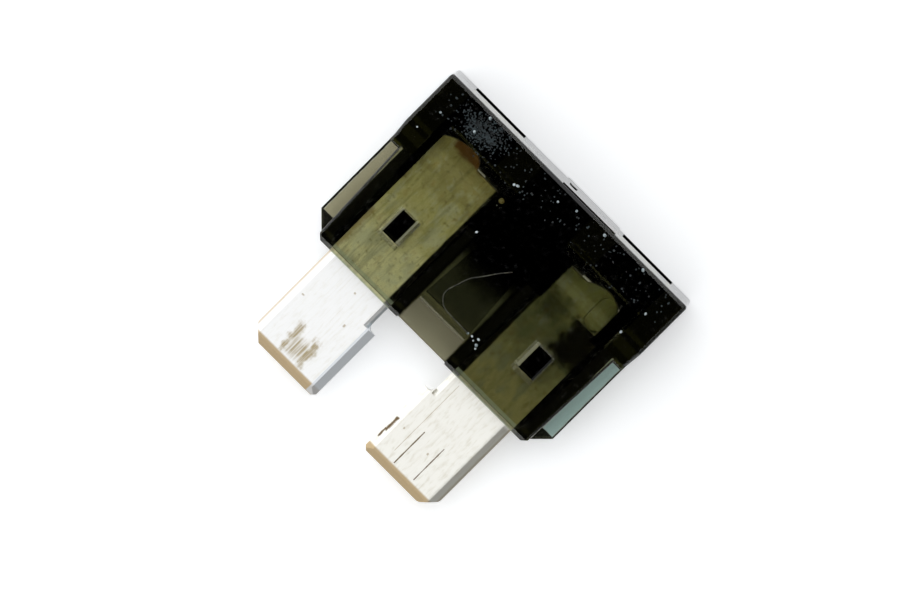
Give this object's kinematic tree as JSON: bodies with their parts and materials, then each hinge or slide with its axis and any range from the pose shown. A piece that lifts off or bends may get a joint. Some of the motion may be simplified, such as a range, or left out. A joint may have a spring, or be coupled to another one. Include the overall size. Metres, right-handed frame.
{
  "type": "automotive blade fuse",
  "caption": "Blown regular blade fuse lying on its back: smoke-coloured see-through housing with a thick head, and two flat metal blades with melted inner ends.",
  "frame": {"origin": "centre of the bounding box in X and Y, on the plane of the head's back face in Z", "axes": "+X across the two blades towards the right blade, +Y from the blade tips towards the head, +Z from the back to the front face"},
  "size_m": [0.0194, 0.0196, 0.0051],
  "materials": {
    "smoke_plastic": "glossy see-through smoke plastic, black where it is thick",
    "tinned_zinc": "bright tin plating with fine scratches",
    "remelted_metal": "dull frozen drops"
  },
  "bodies": {
    "root": {"housing": "smoke_plastic", "left_blade": "tinned_zinc", "right_blade": "tinned_zinc", "element_bead": "remelted_metal", "element_curl_upper": "remelted_metal", "element_curl_lower": "remelted_metal"}
  },
  "joints": []
}
